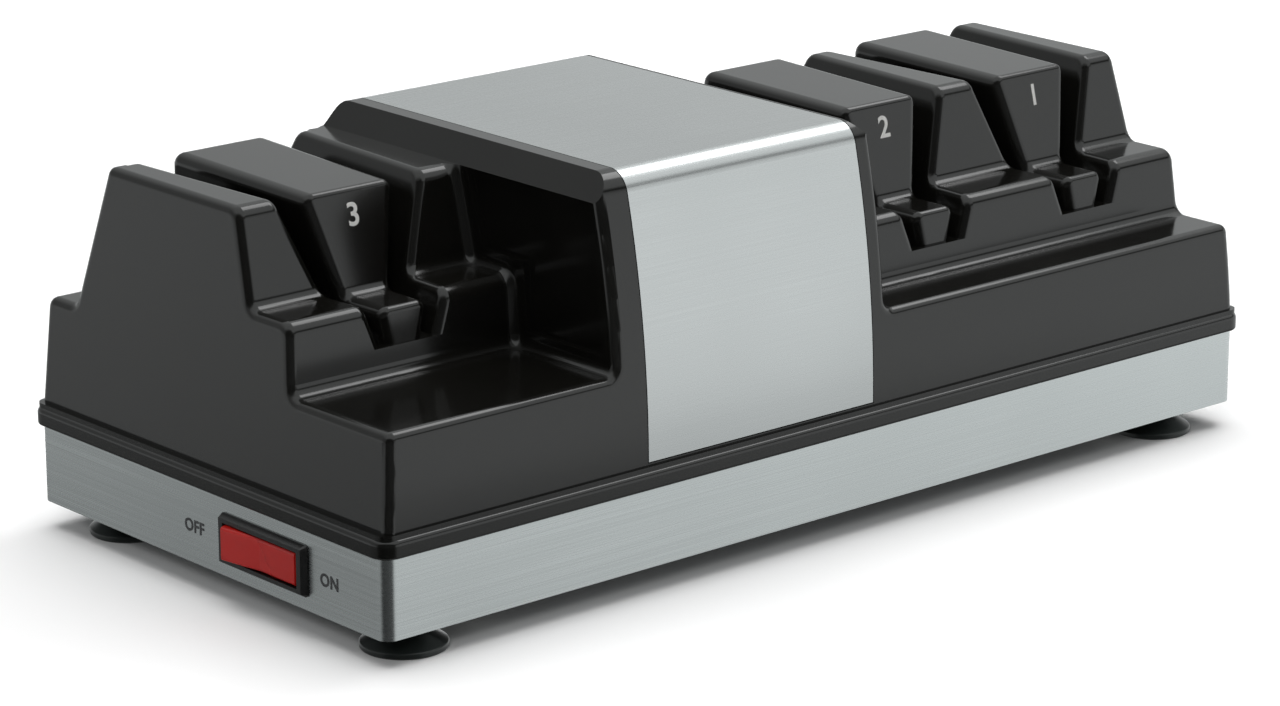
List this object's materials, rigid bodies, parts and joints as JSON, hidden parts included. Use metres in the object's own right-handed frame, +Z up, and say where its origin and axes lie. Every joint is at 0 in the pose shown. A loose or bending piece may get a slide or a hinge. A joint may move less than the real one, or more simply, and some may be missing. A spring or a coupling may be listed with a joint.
{
  "type": "electric knife sharpener",
  "caption": "Worktop electric knife sharpener with leaning blade guides, sprung abrasive discs on one motor shaft, a steel cover and base band, and a rocker switch.",
  "frame": {"origin": "on the worktop under the middle of the outline", "axes": "+X along the length from the stropping stage to the coarse stage, -Y towards the user, +Z up"},
  "size_m": [0.322, 0.1564, 0.1126],
  "materials": {
    "housing_black": "gloss moulded",
    "guide_black": "satin moulded",
    "cover_steel": "fine brushed",
    "band_steel": "fine brushed",
    "plate_paint": "satin black paint",
    "foot_rubber": "smooth rubber",
    "zinc_steel": "zinc plated",
    "magnet_nickel": "nickel plated",
    "switch_black": "satin moulded",
    "rocker_red": "gloss moulded",
    "contact_brass": "bright",
    "gland_rubber": "matte",
    "core_steel": "varnished laminations",
    "copper_wire": "enamelled copper",
    "bracket_alloy": "die cast",
    "bearing_steel": "ground",
    "bush_bronze": "sintered",
    "carbon": "pressed carbon",
    "cradle_plastic": "moulded",
    "fan_plastic": "moulded",
    "shaft_steel": "ground",
    "spring_steel": "drawn wire",
    "strop_compound": "fine polymer abrasive",
    "fine_diamond": "fine diamond grit on plated metal",
    "coarse_diamond": "coarse diamond grit on plated metal"
  },
  "bodies": {
    "housing": {"upper_housing": "housing_black", "steel_cover": "cover_steel", "steel_base_band": "band_steel", "base_plate": "plate_paint", "strop_guide_insert": "guide_black", "fine_guide_insert": "guide_black", "coarse_guide_insert": "guide_black", "guide_magnets": "magnet_nickel", "foot_front_left": "foot_rubber", "foot_front_right": "foot_rubber", "foot_rear_left": "foot_rubber", "foot_rear_right": "foot_rubber", "foot_studs": "zinc_steel", "foot_nuts": "zinc_steel", "housing_screws": "zinc_steel", "switch_body": "switch_black", "rocker_pin": "zinc_steel", "switch_terminals": "contact_brass", "cord_gland": "gland_rubber", "motor_field_stack": "core_steel", "motor_field_coils": "copper_wire", "left_end_bracket": "bracket_alloy", "right_end_bracket": "bracket_alloy", "left_ball_bearing": "bearing_steel", "right_ball_bearing": "bearing_steel", "motor_bolts": "zinc_steel", "brush_holders": "contact_brass", "carbon_brushes": "carbon", "motor_cradle": "cradle_plastic", "cradle_bolts": "zinc_steel", "left_bearing_post": "cradle_plastic", "right_bearing_post": "cradle_plastic", "left_shaft_bush": "bush_bronze", "right_shaft_bush": "bush_bronze"},
    "rotor": {"motor_shaft": "shaft_steel", "disc_drive_pins": "shaft_steel", "armature_stack": "core_steel", "armature_winding": "copper_wire", "commutator": "copper_wire", "cooling_fan": "fan_plastic", "strop_disc_spring": "spring_steel", "fine_disc_spring": "spring_steel", "coarse_disc_spring": "spring_steel"},
    "switch_rocker": {"rocker": "rocker_red"},
    "strop_left_disc_body": {"strop_disc_left": "strop_compound"},
    "strop_right_disc_body": {"strop_disc_right": "strop_compound"},
    "fine_left_disc_body": {"fine_disc_left": "fine_diamond"},
    "fine_right_disc_body": {"fine_disc_right": "fine_diamond"},
    "coarse_left_disc_body": {"coarse_disc_left": "coarse_diamond"},
    "coarse_right_disc_body": {"coarse_disc_right": "coarse_diamond"}
  },
  "joints": [
    {"name": "rotor_spin", "type": "hinge", "parent": "housing", "child": "rotor", "pos_m": [0, 0.00785, 0.0536], "axis": [1, 0, 0], "continuous": true},
    {"name": "switch_rock", "type": "hinge", "parent": "housing", "child": "switch_rocker", "pos_m": [-0.154, -0.0263, 0.0182], "axis": [0, 0, 1], "range_deg": [-9, 0]},
    {"name": "strop_left_disc_slide", "type": "slide", "parent": "rotor", "child": "strop_left_disc_body", "axis": [1, 0, 0], "range_m": [0, 0.0012], "stiffness_N_per_m": 2000, "springref_m": -0.003},
    {"name": "strop_right_disc_slide", "type": "slide", "parent": "rotor", "child": "strop_right_disc_body", "axis": [-1, 0, 0], "range_m": [0, 0.0012], "stiffness_N_per_m": 2000, "springref_m": -0.003, "deforming": ["strop_disc_spring"]},
    {"name": "fine_left_disc_slide", "type": "slide", "parent": "rotor", "child": "fine_left_disc_body", "axis": [1, 0, 0], "range_m": [0, 0.0012], "stiffness_N_per_m": 2000, "springref_m": -0.003},
    {"name": "fine_right_disc_slide", "type": "slide", "parent": "rotor", "child": "fine_right_disc_body", "axis": [-1, 0, 0], "range_m": [0, 0.0012], "stiffness_N_per_m": 2000, "springref_m": -0.003, "deforming": ["fine_disc_spring"]},
    {"name": "coarse_left_disc_slide", "type": "slide", "parent": "rotor", "child": "coarse_left_disc_body", "axis": [1, 0, 0], "range_m": [0, 0.0012], "stiffness_N_per_m": 2000, "springref_m": -0.003},
    {"name": "coarse_right_disc_slide", "type": "slide", "parent": "rotor", "child": "coarse_right_disc_body", "axis": [-1, 0, 0], "range_m": [0, 0.0012], "stiffness_N_per_m": 2000, "springref_m": -0.003, "deforming": ["coarse_disc_spring"]}
  ]
}
